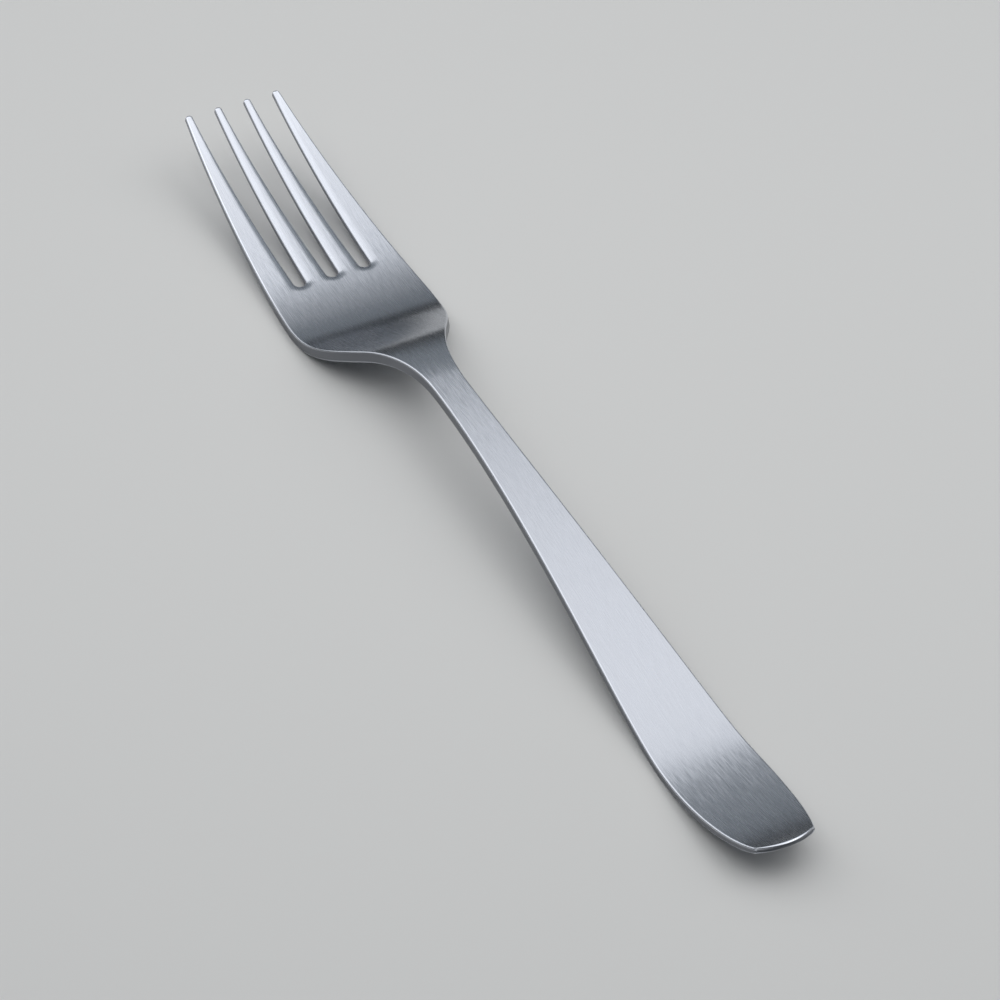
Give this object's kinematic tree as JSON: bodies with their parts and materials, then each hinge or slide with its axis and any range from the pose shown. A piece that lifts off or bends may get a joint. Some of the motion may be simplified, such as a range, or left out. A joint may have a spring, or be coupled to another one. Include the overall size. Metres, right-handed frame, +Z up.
{
  "type": "table fork",
  "caption": "Pressed stainless steel table fork with a plain waisted handle, a dropped neck and slotted upturned tines, for spearing and lifting food.",
  "frame": {"origin": "bottom centre of the bounding box, on the table that the fork lies on", "axes": "+X from the handle to the tips of the tines, +Y to the left seen from the handle, +Z up from the table"},
  "size_m": [0.2064, 0.027, 0.0116],
  "materials": {
    "steel": "satin, brushed along the length, polished edges"
  },
  "bodies": {
    "root": {"fork_body": "steel"}
  },
  "joints": []
}
